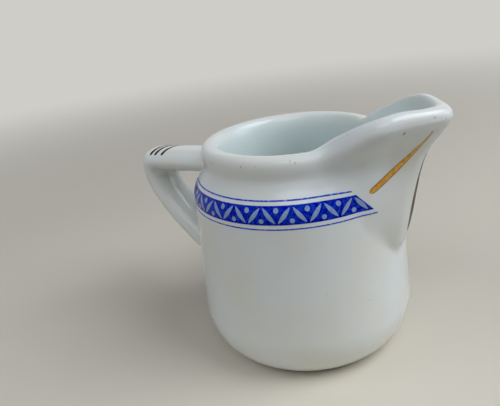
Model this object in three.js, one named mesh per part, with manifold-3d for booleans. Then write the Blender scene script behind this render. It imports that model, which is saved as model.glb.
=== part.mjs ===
// Porcelain milk jug: a cast vessel with a drawn-out pouring spout and an angular strap handle.
// Millimetres, +Z up, spout towards +X, handle towards -X, standing on its foot ring at z = 0.

import * as THREE from 'three';
import { mergeVertices } from 'three/addons/utils/BufferGeometryUtils.js';
import Module from 'manifold-3d';

const wasm = await Module();
wasm.setup();

// Driving dimensions of the vessel
const BELLY_RADIUS = 35.3;      // widest outside radius, just above the rounded bottom edge
const CORNER_HEIGHT = 15.1;     // height of the rounded bottom edge
const FOOT_RADIUS = 23.6;       // outside radius of the flat ring that the jug stands on
const FOOT_RING_WIDTH = 3.0;
const FOOT_RECESS = 1.2;        // hollow of the underside inside the ring
const WALL_HEIGHT = 55.8;       // where the straight wall ends and the shoulder begins
const SHOULDER_RADIUS = 33.0;   // outside radius there
const SHOULDER_RISE = 10.2;     // height of the shoulder, from the wall to the neck
const NECK_RADIUS = 28.1;       // outside radius of the neck, under the rolled rim
const RIM_FLARE = 1.8;          // from the neck up to the middle of the rolled rim
const RIM_RADIUS = 28.8;        // outside radius of the rolled rim, at its middle
const RIM_WIDTH = 6.7;          // thickness of the rolled rim
const RIM_ROLL = 3.55;          // its top above its middle
const RIM_FULLNESS = 0.77;      // below 1 the roll is fuller than a half ellipse
const WALL = 4.3;               // thickness of the wall below the shoulder
const FLOOR = 5.5;              // thickness of the bottom, from the ground

// Driving dimensions of the spout
const SPOUT_HALF_WIDTH = 20.4;  // outside, from the middle to the flank, at the lip
const SPOUT_HALF_FOOT = 16.5;   // the same at the keel's foot
const SPOUT_REACH = 20.4;       // tip beyond the rim
const SPOUT_DEPTH = 34.4;       // foot of the keel below the rim
const STEM_RISE = 11.6;         // upright stretch of the keel, above its foot
const STEM_PROUD = 3.8;         // how far the keel stands off the wall there
const THROAT_DROP = 3.3;        // where the keel swings forward, below the rim
const THROAT_PROUD = 13.6;      // how far it stands off the neck's line there
const CHIN_DROP = 1.6;          // under the lip, below the middle of its roll
const CHIN_BACK = 1.3;          // how far it lies behind the tip there
const NOSE_RISE = 1.4;          // foremost point of the tip, above the middle of the lip's roll
const LIP_RISE = 9.1;           // tip of the lip above the rim
const RISE_START = 15.0;        // the lip begins to climb this far in front of the axis
const RISE_LENGTH = 24.5;       // and has climbed to its full height after this length
const RISE_SPREAD = 1.5;        // power by which the climb fades down the wall
const TIP_DIP = 0.6;            // the lip falls again by this much over the last stretch to its tip
const DIP_LENGTH = 9.0;         // length of that stretch
const LIP_THINNING = 0.72;      // thickness of the roll at the tip, as a share of the rim's
const BOW_SLOPE_FOOT = 0.62;    // how fast the bow falls back to each side of the keel, at its foot
const BOW_SLOPE_LIP = 0.88;     // the same at the lip
const BOW_ROUND = 0.07;         // sine of the half angle over which the keel is rounded
const FLANK_ROUND = 18.0;       // soft edge between the bow and the flank
const CREASE_ROUND = 5.5;       // soft crease between the flank and the vessel, at the lip
const CREASE_SPREAD = 1.5;      // power by which it sharpens towards the keel's foot

// Driving dimensions of the handle
const HANDLE_TOP_DROP = 2.9;    // top of the handle at the wall, below the middle of the rolled rim
const HANDLE_TOP_DIP = 1.7;     // the top falls this much on its way to the elbow
const HANDLE_REACH = 66.6;      // elbow's corner from the jug's axis, before it is rounded
const HANDLE_THICKNESS = 8.7;
const HANDLE_WIDTH = 15.5;
const HANDLE_BOW_OUT = 62.1;    // corner that the lower limb bends towards, from the axis
const HANDLE_BOW_DROP = 29.2;   // and below the rim
const HANDLE_FOOT_DROP = 49.7;  // underside of the handle where it enters the wall, below the rim
const ELBOW_OUTSIDE = 7.5;      // where the rounding of the elbow begins, outside and inside
const ELBOW_INSIDE = 2.2;

// Joints: the cast pieces are stuck together with slip before firing
const SLIP = 0.8;               // fired layer of slip in a joint
const SLIP_SQUEEZE = 0.7;       // how far the slip stands out round the handle
const CLEARANCE = 0.3;          // between a piece and the slip
const SPOUT_CUT_MARGIN = 3.0;   // the cut runs this far outside the spout's flank and its foot

// Facets
const COLUMNS = 64;             // round the vessel
const COLUMN_GATHER = 0.5;      // draws the columns together towards the spout
const CORNER_ROWS = 7;          // up the vessel: bottom edge, wall below the spout, wall beside it
const WALL_ROWS = 2;
const STEM_ROWS = 8;
const SHOULDER_ROWS = 7;        // then the shoulder, and the flare under the rim
const FLARE_ROWS = 2;
const ROLL_STEPS = 8;           // over the rolled rim
const KEEL_STEPS = 60;          // along the curve of the keel
const HANDLE_SIDES = 18;        // round the handle
const UPPER_LIMB_STEPS = 6;     // along the handle
const ELBOW_STEPS = 8;
const LOWER_LIMB_STEPS = 14;

// Levels worked out from the dimensions above
const NECK_Z = WALL_HEIGHT + SHOULDER_RISE;
const RIM_Z = NECK_Z + RIM_FLARE;
const TIP_Z = RIM_Z + LIP_RISE;
const TIP_X = RIM_RADIUS + SPOUT_REACH;
const KEEL_FOOT_Z = RIM_Z - SPOUT_DEPTH;
const STEM_Z = KEEL_FOOT_Z + STEM_RISE;
const OVERSHOOT = 5;            // how far cutters and filled shapes run past what they cut

const porcelain = new THREE.MeshStandardMaterial({ color: 0xd9dcda, roughness: 0.18, metalness: 0 });
const firedSlip = new THREE.MeshStandardMaterial({ color: 0xcfcfc8, roughness: 0.4, metalness: 0 });

const clamp01 = (v) => Math.min(Math.max(v, 0), 1);
const smoothstep = (v) => v * v * (3 - 2 * v);
const mix = (a, b, t) => a + (b - a) * t;

// Joins of two outlines with a soft crease or a soft edge about k wide
const softStep = (a, b, k) => Math.pow(Math.max(k - Math.abs(a - b), 0) / k, 3) * k / 6;
const softMax = (a, b, k) => Math.max(a, b) + softStep(a, b, k);
const softMin = (a, b, k) => Math.min(a, b) - softStep(a, b, k);

// Outside radius of the turned vessel at a height: quarter ellipse, straight wall, shoulder, flare
function outsideRadius(z) {
  if (z < CORNER_HEIGHT) {
    const drop = 1 - Math.max(z, 0) / CORNER_HEIGHT;
    return FOOT_RADIUS + (BELLY_RADIUS - FOOT_RADIUS) * Math.sqrt(1 - drop * drop);
  }
  const up = clamp01((z - CORNER_HEIGHT) / (WALL_HEIGHT - CORNER_HEIGHT));
  const shoulder = smoothstep(clamp01((z - WALL_HEIGHT) / SHOULDER_RISE));
  const flare = smoothstep(clamp01((z - NECK_Z) / RIM_FLARE));
  return mix(mix(mix(BELLY_RADIUS, SHOULDER_RADIUS, up), NECK_RADIUS, shoulder), RIM_RADIUS, flare);
}

// Thickness of the wall at a height, which swells into the rolled rim
function thickness(z) {
  return mix(WALL, RIM_WIDTH, smoothstep(clamp01((z - WALL_HEIGHT) / (RIM_Z - WALL_HEIGHT))));
}

// Even steps from one height to another, without the first
function steps(low, high, count) {
  return Array.from({ length: count }, (_, i) => mix(low, high, (i + 1) / count));
}

// Heights of the wall and the shoulder at which the vessel gets a ring of points
const wallLevels = [
  ...steps(CORNER_HEIGHT, KEEL_FOOT_Z, WALL_ROWS),
  ...steps(KEEL_FOOT_Z, WALL_HEIGHT, STEM_ROWS),
  ...steps(WALL_HEIGHT, NECK_Z, SHOULDER_ROWS),
  ...steps(NECK_Z, RIM_Z, FLARE_ROWS),
];

// Heights of the rounded bottom edge, closer together at the ground
const cornerLevels = steps(0, Math.PI / 2, CORNER_ROWS).map((turn) => CORNER_HEIGHT * (1 - Math.cos(turn)));

// Half section of the vessel: underside, foot ring, outside, rolled rim, inside and floor
function vesselProfile() {
  const ringInside = FOOT_RADIUS - FOOT_RING_WIDTH;
  const floorRadius = FOOT_RADIUS - WALL / 2;
  const profile = [
    new THREE.Vector2(0, FOOT_RECESS),
    new THREE.Vector2(ringInside - FOOT_RECESS, FOOT_RECESS),
    new THREE.Vector2(ringInside, 0),
    new THREE.Vector2(FOOT_RADIUS, 0),
  ];
  for (const z of [...cornerLevels, ...wallLevels]) profile.push(new THREE.Vector2(outsideRadius(z), z));
  for (const turn of steps(0, Math.PI, ROLL_STEPS)) {
    const side = Math.sign(Math.cos(turn)) * Math.pow(Math.abs(Math.cos(turn)), RIM_FULLNESS);
    const up = Math.pow(Math.max(Math.sin(turn), 0), RIM_FULLNESS);
    profile.push(new THREE.Vector2(RIM_RADIUS - RIM_WIDTH / 2 * (1 - side), RIM_Z + RIM_ROLL * up));
  }
  for (const z of [CORNER_HEIGHT, ...wallLevels.slice(0, -1)].reverse()) {
    profile.push(new THREE.Vector2(outsideRadius(z) - thickness(z), z));
  }
  for (const turn of steps(0, Math.PI / 2, CORNER_ROWS)) {
    const across = mix(floorRadius, BELLY_RADIUS - WALL, Math.cos(turn));
    profile.push(new THREE.Vector2(across, mix(CORNER_HEIGHT, FLOOR, Math.sin(turn))));
  }
  profile.push(new THREE.Vector2(0, FLOOR));
  return profile;
}

// Forward edge of the spout in the plane of symmetry, as reach from the axis at a height
const keelPoints = new THREE.SplineCurve([
  new THREE.Vector2(outsideRadius(KEEL_FOOT_Z), KEEL_FOOT_Z),
  new THREE.Vector2(outsideRadius(STEM_Z) + STEM_PROUD, STEM_Z),
  new THREE.Vector2(NECK_RADIUS + THROAT_PROUD, RIM_Z - THROAT_DROP),
  new THREE.Vector2(TIP_X - CHIN_BACK, TIP_Z - CHIN_DROP),
  new THREE.Vector2(TIP_X, TIP_Z + NOSE_RISE),
]).getPoints(KEEL_STEPS);

function keelReach(z) {
  const above = keelPoints.findIndex((p) => p.y >= z);
  if (above === -1) return TIP_X;
  if (above === 0) return keelPoints[0].x;
  const low = keelPoints[above - 1];
  const high = keelPoints[above];
  return mix(low.x, high.x, (z - low.y) / (high.y - low.y));
}

// Radius in plan, at one level, of a circle with the spout's bow drawn out of it.
// Everything is set in by inset, so that the inside of the wall runs parallel to the outside.
function planRadius(angle, radius, level, inset) {
  const turn = Math.abs(angle);
  if (turn >= Math.PI / 2 || level <= KEEL_FOOT_Z) return radius;
  const up = clamp01((level - KEEL_FOOT_Z) / (TIP_Z - KEEL_FOOT_Z));
  const slope = mix(BOW_SLOPE_FOOT, BOW_SLOPE_LIP, up);
  const reach = keelReach(level) - inset * Math.hypot(1, slope);
  const rounded = Math.hypot(Math.sin(turn), BOW_ROUND) - BOW_ROUND;
  const bow = reach / (Math.cos(turn) + slope * rounded);
  const flank = (mix(SPOUT_HALF_FOOT, SPOUT_HALF_WIDTH, up) - inset) / Math.sin(Math.max(turn, 1e-3));
  const crease = Math.max(CREASE_ROUND * Math.pow(up, CREASE_SPREAD), 1e-3);
  return softMax(radius, softMin(bow, flank, FLANK_ROUND), crease);
}

// How far the lip climbs above the rim in one direction
function lipRise(angle) {
  const forward = planRadius(angle, RIM_RADIUS, TIP_Z, 0) * Math.cos(angle) - RIM_WIDTH / 2;
  const dip = smoothstep(clamp01((forward - TIP_X + RIM_WIDTH / 2) / DIP_LENGTH + 1));
  return LIP_RISE * smoothstep(clamp01((forward - RISE_START) / RISE_LENGTH)) - TIP_DIP * dip;
}

// Where a point of the turned vessel goes when the spout is drawn out of it: outwards and up
function drawnOut(angle, radius, z) {
  const climb = clamp01((z - KEEL_FOOT_Z) / (RIM_Z - KEEL_FOOT_Z));
  const rise = lipRise(angle) * Math.pow(climb, RISE_SPREAD);
  const level = z + rise;
  const inset = (outsideRadius(Math.min(z, RIM_Z)) - radius) * mix(1, LIP_THINNING, rise / LIP_RISE);
  return [planRadius(angle, radius, level, inset), level];
}

// A profile turned about the axis, its columns gathered towards the spout and its points placed anew
function turned(profile, place) {
  const geometry = new THREE.LatheGeometry(profile, COLUMNS).rotateX(Math.PI / 2);
  const points = geometry.attributes.position;
  for (let i = 0; i < points.count; i++) {
    const even = Math.atan2(points.getY(i), points.getX(i));
    const angle = even - COLUMN_GATHER * Math.sin(even);
    const [radius, z] = place(angle, Math.hypot(points.getX(i), points.getY(i)), points.getZ(i));
    points.setXYZ(i, radius * Math.cos(angle), radius * Math.sin(angle), z);
  }
  return geometry;
}

// Closed solid from a geometry whose coincident points are merged
function solid(geometry) {
  const bare = geometry.clone();
  bare.deleteAttribute('normal');
  bare.deleteAttribute('uv');
  const merged = mergeVertices(bare, 1e-4);
  const index = merged.index.array;
  const triangles = [];
  for (let i = 0; i < index.length; i += 3) {
    const [a, b, c] = [index[i], index[i + 1], index[i + 2]];
    if (a !== b && b !== c && c !== a) triangles.push(a, b, c);
  }
  return new wasm.Manifold(new wasm.Mesh({
    numProp: 3,
    vertProperties: new Float32Array(merged.attributes.position.array),
    triVerts: new Uint32Array(triangles),
  }));
}

function mesh(name, piece, material) {
  const { vertProperties, triVerts } = piece.getMesh();
  const geometry = new THREE.BufferGeometry();
  geometry.setAttribute('position', new THREE.BufferAttribute(vertProperties, 3));
  geometry.setIndex(new THREE.BufferAttribute(triVerts, 1));
  geometry.computeVertexNormals();
  const result = new THREE.Mesh(geometry, material);
  result.name = name;
  return result;
}

// The filled vessel without its spout, grown outwards: cuts the handle to fit the wall
function filledVessel(grow) {
  const profile = [new THREE.Vector2(0, -grow), new THREE.Vector2(FOOT_RADIUS, -grow)];
  for (const z of [...cornerLevels, ...wallLevels]) profile.push(new THREE.Vector2(outsideRadius(z) + grow, z));
  profile.push(new THREE.Vector2(RIM_RADIUS + grow, RIM_Z + OVERSHOOT));
  profile.push(new THREE.Vector2(0, RIM_Z + OVERSHOOT));
  return solid(turned(profile, (angle, radius, z) => [radius, z]));
}

// Wedge that parts the spout from the vessel along the crease round its foot, grown by a distance
function spoutCutter(grow) {
  const half = SPOUT_HALF_WIDTH + SPOUT_CUT_MARGIN;
  const foot = KEEL_FOOT_Z - SPOUT_CUT_MARGIN;
  const slant = Math.hypot(half, WALL_HEIGHT - foot);
  const footGrow = grow * slant / half;
  const kneeGrow = grow * (slant - (WALL_HEIGHT - foot)) / half;
  const top = TIP_Z + RIM_ROLL + OVERSHOOT;
  const outline = new THREE.Shape();
  outline.moveTo(0, foot - footGrow);
  outline.lineTo(half + grow, WALL_HEIGHT - kneeGrow);
  outline.lineTo(half + grow, top);
  outline.lineTo(-half - grow, top);
  outline.lineTo(-half - grow, WALL_HEIGHT - kneeGrow);
  const geometry = new THREE.ExtrudeGeometry(outline, { depth: TIP_X + OVERSHOOT, bevelEnabled: false });
  // the outline's x and y become Y and Z, and the depth runs along X from the axis forwards
  geometry.applyMatrix4(new THREE.Matrix4().makeBasis(
    new THREE.Vector3(0, 1, 0), new THREE.Vector3(0, 0, 1), new THREE.Vector3(1, 0, 0),
  ));
  return solid(geometry);
}

// A row of points set in to its right by a distance, corners kept sharp
function setIn(points, distance) {
  const normals = points.slice(1).map((p, i) => {
    const along = p.clone().sub(points[i]).normalize();
    return new THREE.Vector2(along.y, -along.x);
  });
  return points.map((p, i) => {
    const before = normals[Math.max(i - 1, 0)];
    const after = normals[Math.min(i, normals.length - 1)];
    const middle = before.clone().add(after).normalize();
    return p.clone().addScaledVector(middle, distance / middle.dot(before));
  });
}

// One edge of the handle seen from the side: upper limb, elbow, lower limb
function handleEdge([wall, elbow, bow, foot], rounding) {
  const start = elbow.clone().add(wall.clone().sub(elbow).setLength(rounding));
  const end = elbow.clone().add(bow.clone().sub(elbow).setLength(rounding));
  const upper = new THREE.LineCurve(wall, start).getPoints(UPPER_LIMB_STEPS);
  const corner = new THREE.QuadraticBezierCurve(start, elbow, end).getPoints(ELBOW_STEPS);
  const lower = new THREE.QuadraticBezierCurve(end, bow, foot).getPoints(LOWER_LIMB_STEPS);
  return [...upper, ...corner.slice(1), ...lower.slice(1)];
}

// Strap handle: oval sections lofted between its outer and inner edge, grown for the slip round it
function handleLoft(grow) {
  const outer = [
    new THREE.Vector2(NECK_RADIUS - WALL, RIM_Z - HANDLE_TOP_DROP),
    new THREE.Vector2(HANDLE_REACH, RIM_Z - HANDLE_TOP_DROP - HANDLE_TOP_DIP),
    new THREE.Vector2(HANDLE_BOW_OUT, RIM_Z - HANDLE_BOW_DROP),
    new THREE.Vector2(BELLY_RADIUS - WALL / 2, RIM_Z - HANDLE_FOOT_DROP),
  ];
  const outside = handleEdge(setIn(outer, -grow), ELBOW_OUTSIDE);
  const inside = handleEdge(setIn(outer, HANDLE_THICKNESS + grow), ELBOW_INSIDE);
  const positions = [];
  outside.forEach((out, i) => {
    const middle = out.clone().add(inside[i]).multiplyScalar(0.5);
    const half = out.clone().sub(middle);
    for (let k = 0; k < HANDLE_SIDES; k++) {
      const turn = (k / HANDLE_SIDES) * 2 * Math.PI;
      positions.push(
        -(middle.x + half.x * Math.cos(turn)),
        (HANDLE_WIDTH / 2 + grow) * Math.sin(turn),
        middle.y + half.y * Math.cos(turn),
      );
    }
  });
  const index = [];
  for (let i = 0; i < outside.length - 1; i++) {
    for (let k = 0; k < HANDLE_SIDES; k++) {
      const [a, b] = [i * HANDLE_SIDES + k, i * HANDLE_SIDES + (k + 1) % HANDLE_SIDES];
      const [c, d] = [a + HANDLE_SIDES, b + HANDLE_SIDES];
      index.push(a, b, c, b, d, c);
    }
  }
  const last = (outside.length - 1) * HANDLE_SIDES;
  for (let k = 1; k < HANDLE_SIDES - 1; k++) {
    index.push(0, k + 1, k);
    index.push(last, last + k, last + k + 1);
  }
  const geometry = new THREE.BufferGeometry();
  geometry.setAttribute('position', new THREE.Float32BufferAttribute(positions, 3));
  geometry.setIndex(index);
  return solid(geometry);
}

// Half space above or below the bow of the handle, to tell its two joints apart
function handleHalf(upper) {
  const size = 4 * HANDLE_REACH;
  const block = new THREE.BoxGeometry(size, size, size);
  block.translate(0, 0, RIM_Z - HANDLE_BOW_DROP + (upper ? size / 2 : -size / 2));
  return solid(block);
}

// Vessel and spout are parts of one shell, parted along the crease with a layer of slip between
const shell = solid(turned(vesselProfile(), drawnOut));
const spout = shell.intersect(spoutCutter(0));
const spoutSlip = shell.intersect(spoutCutter(CLEARANCE + SLIP).subtract(spoutCutter(CLEARANCE)));
const body = shell.subtract(spoutCutter(2 * CLEARANCE + SLIP));

// The handle is cut to the wall's curve, and slip fills the joint and stands out a little round it
const handle = handleLoft(0).subtract(filledVessel(2 * CLEARANCE + SLIP));
const slipLayer = filledVessel(CLEARANCE + SLIP).subtract(filledVessel(CLEARANCE));
const handleSlip = handleLoft(SLIP_SQUEEZE).intersect(slipLayer);

const jug = new THREE.Group();
jug.add(mesh('body', body, porcelain));
jug.add(mesh('spout', spout, porcelain));
jug.add(mesh('handle', handle, porcelain));
jug.add(mesh('spout_slip_joint', spoutSlip, firedSlip));
jug.add(mesh('handle_upper_slip_joint', handleSlip.intersect(handleHalf(true)), firedSlip));
jug.add(mesh('handle_lower_slip_joint', handleSlip.intersect(handleHalf(false)), firedSlip));

// The origin lies on the ground under the middle of the jug's length
const box = new THREE.Box3().setFromObject(jug);
jug.position.x = -(box.min.x + box.max.x) / 2;

export default jug;
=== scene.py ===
"""Glazed porcelain milk jug with a cobalt printed band and gilding, in a pale studio.

The vessel is spun from its half section and the spout is drawn out of it by the same rule of plan
that gives the solid pieces their shape. Print and gilding are thin layers laid on the glaze.
"""

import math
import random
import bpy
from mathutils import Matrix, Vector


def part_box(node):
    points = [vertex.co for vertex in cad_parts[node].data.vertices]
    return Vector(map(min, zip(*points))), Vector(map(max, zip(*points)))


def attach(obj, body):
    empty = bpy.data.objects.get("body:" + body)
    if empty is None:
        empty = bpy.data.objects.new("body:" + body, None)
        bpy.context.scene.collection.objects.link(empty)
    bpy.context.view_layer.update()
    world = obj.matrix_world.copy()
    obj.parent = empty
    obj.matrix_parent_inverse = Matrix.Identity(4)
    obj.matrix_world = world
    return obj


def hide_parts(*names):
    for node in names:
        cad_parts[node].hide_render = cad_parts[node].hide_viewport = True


bl_info = {
    "name": "Porcelain Milk Jug",
    "version": (1, 0, 0),
    "blender": (4, 5, 0),
    "location": "3D View > Sidebar > Milk Jug",
    "description": "Models a glazed milk jug with its printed band and gilding, and a studio for it",
    "category": "Add Mesh",
}

from types import SimpleNamespace

import bpy
from bpy.props import FloatProperty, FloatVectorProperty, IntProperty, PointerProperty
from bpy.types import Operator, Panel, PropertyGroup
from mathutils import Matrix, Vector

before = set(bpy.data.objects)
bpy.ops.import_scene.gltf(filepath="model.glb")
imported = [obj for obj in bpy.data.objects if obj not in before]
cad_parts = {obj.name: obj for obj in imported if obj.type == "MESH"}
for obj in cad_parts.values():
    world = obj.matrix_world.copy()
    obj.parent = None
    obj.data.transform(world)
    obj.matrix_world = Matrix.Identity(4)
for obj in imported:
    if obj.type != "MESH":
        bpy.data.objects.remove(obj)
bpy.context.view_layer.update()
BODY_LOW, BODY_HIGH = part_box("body")

MM = 0.001
AXIS_X = (BODY_LOW.x + BODY_HIGH.x) / 2      # the vessel's axis stands here, in front of the frame's origin
AXIS = Vector((AXIS_X, 0, 0))

# Fineness of the meshes
COLUMNS = 240               # round the vessel
COLUMN_GATHER = 0.5         # draws the columns together towards the spout
KEEL_STEPS = 120
ROW = 0.55 * MM             # height of one row of faces on the wall
UNDERSIDE_STEPS = 6
CORNER_STEPS = 30           # over the rounded bottom edge
ROLL_STEPS = 40             # over the rolled rim
INNER_CORNER_STEPS = 18     # where the inside rounds into the floor
FLOOR_STEPS = 8
HANDLE_SIDES = 44
HANDLE_STEPS = (70, 40, 150)    # upper limb, elbow, lower limb
BAND_COLUMNS = 360
BAND_ROWS = 12
LINE_ROWS = 2
LEAF_GRID = (14, 4)         # this and the next grids: along and across
SIDE_STROKE_GRID = (90, 8)
KEEL_STROKE_GRID = (80, 8)
HANDLE_STROKE_GRID = (40, 4)
DOT_SIDES = 20
FLECK_SIDES = 10
SWEEP_COLUMNS = 96
SWEEP_BEND_STEPS = 16
VESSEL_SEAM = 0.01 * MM     # points closer than this become one
HANDLE_SEAM = 0.001 * MM
SWEEP_SEAM = 0.1 * MM
SMOOTH_FOLD = math.radians(40)  # print and gilding are shaded smooth up to this fold
HALVINGS = 40               # of the search for a height on the vessel
GLAZE_STEP = 0.1 * MM       # over which the slope of the glaze is taken

# Flank of the spout: directions from the keel in radians, heights as shares of the spout's
LEAST_TURN = 0.001          # keeps the flank finite at the keel
LEAST_CREASE = 0.01 * MM
PUFF_TURN = 0.15            # the flank is full from here on
PUFF_FADE_START = 0.3       # flattens from this height
PUFF_FADE = 0.5             # and is flat after this much more
HOLLOW_TURN = 0.3           # the hollow under the lip is deepest here
HOLLOW_FADE = 0.4           # and after this much more
HOLLOW_REST = 0.6           # has this share of its depth left

# Print and gilding
FILM_DEPTH = 3              # how far they reach down, in thicknesses of the film
LEAF_FULLNESS = 0.8         # below 1 a leaf is fuller than a sine
SIDE_THICK_END = 0.07       # round end of a stroke, as a share of its length
KEEL_THICK_END = 0.35
HANDLE_THICK_END = 0.1
TAPER_START = 0.3           # where a stroke begins to thin
TAPER_LENGTH = 0.9
TAPER = 0.95                # share of its width that it loses over that length
LEAST_WIDTH = 0.02          # keeps the ends of a stroke open
STROKE_STEP = 0.01          # over which a stroke's direction is taken
STROKE_EDGE = 0.6           # height of the side stroke's edges, in thicknesses of the film
STROKE_DOME = 0.6           # how much higher its middle is
HANDLE_STROKES = 3
PITCH_GROWTH = 0.18         # the third handle stroke stands off by this share more


def clamp01(value):
    return min(max(value, 0.0), 1.0)


def smoothstep(value):
    t = clamp01(value)
    return t * t * (3 - 2 * t)


def mix(a, b, t):
    return a + (b - a) * t


def steps(low, high, count):
    """Even steps from one value to another, without the first."""
    return [mix(low, high, (i + 1) / count) for i in range(count)]


def hex_to_linear(text):
    """Linear colour from an sRGB hex value."""
    channels = [int(text[i:i + 2], 16) / 255 for i in (0, 2, 4)]
    return tuple(c / 12.92 if c <= 0.04045 else ((c + 0.055) / 1.055) ** 2.4 for c in channels)


def length(name, millimetres, description):
    """A size property, written here in millimetres and kept in metres."""
    return FloatProperty(
        name=name, description=description, default=millimetres * MM, unit='LENGTH', precision=5)


def angle(name, degrees, description):
    """An angle property, written here in degrees."""
    return FloatProperty(
        name=name, description=description, default=math.radians(degrees), subtype='ANGLE', precision=3)


def number(name, value, description):
    """A property without a unit."""
    return FloatProperty(name=name, description=description, default=value)


def watts(name, power, description):
    """A lamp's power."""
    return FloatProperty(name=name, description=description, default=power, unit='POWER')


def colour(name, text, description):
    """A colour property, written here as an sRGB hex value."""
    return FloatVectorProperty(
        name=name, description=description, default=hex_to_linear(text), subtype='COLOR', min=0, max=1)


class VesselSizes(PropertyGroup):
    belly_radius: length(
        "Belly radius", (BODY_HIGH.x - BODY_LOW.x) / 2 / MM, "Widest outside radius, above the bottom edge")
    corner_height: length("Corner height", 15.1, "Height of the rounded bottom edge")
    foot_radius: length("Foot radius", 23.6, "Outside radius of the ring that the jug stands on")
    foot_ring_width: length("Foot ring width", 3.0, "Width of that ring")
    foot_recess: length("Foot recess", 1.2, "Hollow of the underside inside the ring")
    foot_edge: length("Foot edge", 0.5, "Rounding of the ring's inner edges")
    wall_height: length("Wall height", 55.8, "Where the straight wall ends and the shoulder begins")
    shoulder_radius: length("Shoulder radius", 33.0, "Outside radius there")
    shoulder_rise: length("Shoulder rise", 9.6, "Height of the shoulder, up to the neck")
    neck_radius: length("Neck radius", 28.6, "Outside radius of the neck, under the rolled rim")
    rim_flare: length("Rim flare", 2.4, "From the neck up to the middle of the rolled rim")
    rim_radius: length("Rim radius", 28.8, "Outside radius of the rolled rim, at its middle")
    rim_width: length("Rim width", 6.7, "Thickness of the rolled rim")
    rim_roll: length("Rim roll", 3.55, "Its top above its middle")
    rim_fullness: number("Rim fullness", 0.77, "Below 1 the roll is fuller than a half ellipse")
    mouth_roll: length("Mouth roll", 5.0, "How far the rim's inner side keeps rolling, below its middle")
    wall: length("Wall", 4.3, "Thickness of the wall below the shoulder")
    hollow_foot: length("Hollow foot", 18.0, "Where the inside has reached its full width, from the ground")
    floor: length("Floor", 5.5, "Thickness of the bottom, from the ground")


class SpoutSizes(PropertyGroup):
    half_width: length("Half width", 20.4, "From the middle to the flank, outside, at the lip")
    half_foot: length("Half width at the foot", 16.5, "The same at the keel's foot")
    reach: length("Reach", 49.2, "Tip of the lip from the vessel's axis, before it is rounded")
    depth: length("Depth", 34.4, "Foot of the keel below the rim")
    foot_fade: length("Foot fade", 7.0, "Height over which the keel's foot melts into the wall")
    stem_rise: length("Stem rise", 11.6, "Upright stretch of the keel, above its foot")
    stem_proud: length("Stem proud", 3.8, "How far the keel stands off the wall there")
    throat_drop: length("Throat drop", 3.3, "Where the keel swings forward, below the rim")
    throat_proud: length("Throat proud", 13.1, "How far it stands off the neck's line there")
    chin_drop: length("Chin drop", 2.2, "Under the lip, below the middle of its roll")
    chin_back: length("Chin back", 1.1, "How far it lies behind the tip there")
    nose_rise: length("Nose rise", 0.8, "Foremost point of the tip, above the middle of the lip's roll")
    lip_rise: length("Lip rise", 9.1, "Tip of the lip above the rim")
    rise_start: length("Rise start", 15.0, "The lip begins to climb this far in front of the axis")
    rise_length: length("Rise length", 24.5, "And has climbed to its full height after this length")
    tip_dip: length("Tip dip", 0.6, "The lip falls again by this much over the last stretch to its tip")
    dip_length: length("Dip length", 9.0, "Length of that stretch")
    rise_spread: number("Rise spread", 1.5, "Power by which the climb fades down the wall")
    lip_thinning: number("Lip thinning", 0.72, "Thickness of the roll at the tip, as a share of the rim's")
    bow_slope_foot: number("Bow slope at the foot", 0.62, "How fast the bow falls back from the keel")
    bow_slope_lip: number("Bow slope at the lip", 0.88, "How fast the bow falls back from the keel")
    bow_round: number("Bow round", 0.085, "Sine of the half angle over which the keel is rounded")
    flank_round: length("Flank round", 18.0, "Soft edge between the bow and the flank")
    groove: length("Groove", 1.4, "Hollow under the lip's roll, which carries the neck on")
    groove_drop: length("Groove drop", 6.0, "Where it is deepest, below the middle of the roll")
    groove_below: length("Groove below", 11.0, "How far it reaches down from there")
    puff: length("Puff", 0.8, "How much fuller the flank is than flat, above the crease")
    puff_round: length("Puff round", 1.0, "How soon it is so, as it leaves the vessel")
    crease_round: length("Crease round", 5.5, "Soft crease between the flank and the vessel, at the lip")
    crease_spread: number("Crease spread", 0.9, "Power by which it sharpens towards the keel's foot")


class HandleSizes(PropertyGroup):
    top_drop: length("Top drop", 2.9, "Top of the handle at the wall, below the middle of the rim")
    top_dip: length("Top dip", 1.7, "The top falls this much on its way to the elbow")
    reach: length("Reach", 66.6, "Elbow's corner from the axis, before it is rounded")
    thickness: length("Thickness", 8.7, "Of the strap")
    width: length("Width", 15.5, "Of the strap")
    bow_out: length("Bow out", 62.1, "Corner that the lower limb bends towards, from the axis")
    bow_drop: length("Bow drop", 29.2, "And below the rim")
    foot_drop: length("Foot drop", 49.7, "Underside where it enters the wall, below the rim")
    elbow_outside: length("Elbow outside", 7.5, "Where the rounding of the elbow begins, outside")
    elbow_inside: length("Elbow inside", 2.2, "The same on the inside")
    root_fillet: length("Root fillet", 2.0, "Rounding of slip and glaze where it meets the wall")


class BandSizes(PropertyGroup):
    bottom: length("Bottom", 54.1, "Lower edge of the blue band")
    top: length("Top", 59.3, "Upper edge of the blue band")
    lower_line: length("Lower line", 52.8, "Height of the thin line under the band")
    upper_line: length("Upper line", 60.4, "Height of the thin line over the band")
    line_width: length("Line width", 0.36, "Of the thin lines")
    motif_turn: angle("Motif", 15.0, "One leaf to each side and two dots, 24 to a full turn")
    first_motif: angle("First motif", 31.9, "Middle of the motif nearest to the spout")
    motifs: IntProperty(name="Motifs", description="From spout to handle", default=9)
    end_turn: angle("Band end", 30.2, "Where the band's upper edge ends, beside the spout")
    end_slant: angle("End slant", 8.0, "How much further its lower edge runs")
    leaf_across: length("Leaf across", 3.5, "How far a leaf leans, along the band")
    leaf_up: length("Leaf up", 4.2, "How high a leaf stands")
    leaf_width: length("Leaf width", 1.2, "Widest part of a leaf")
    dot_radius: length("Dot radius", 0.7, "Of the dots between the leaves")
    dot_lift: length("Dot lift", 1.4, "Dots above and below the middle of the band")


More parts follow.
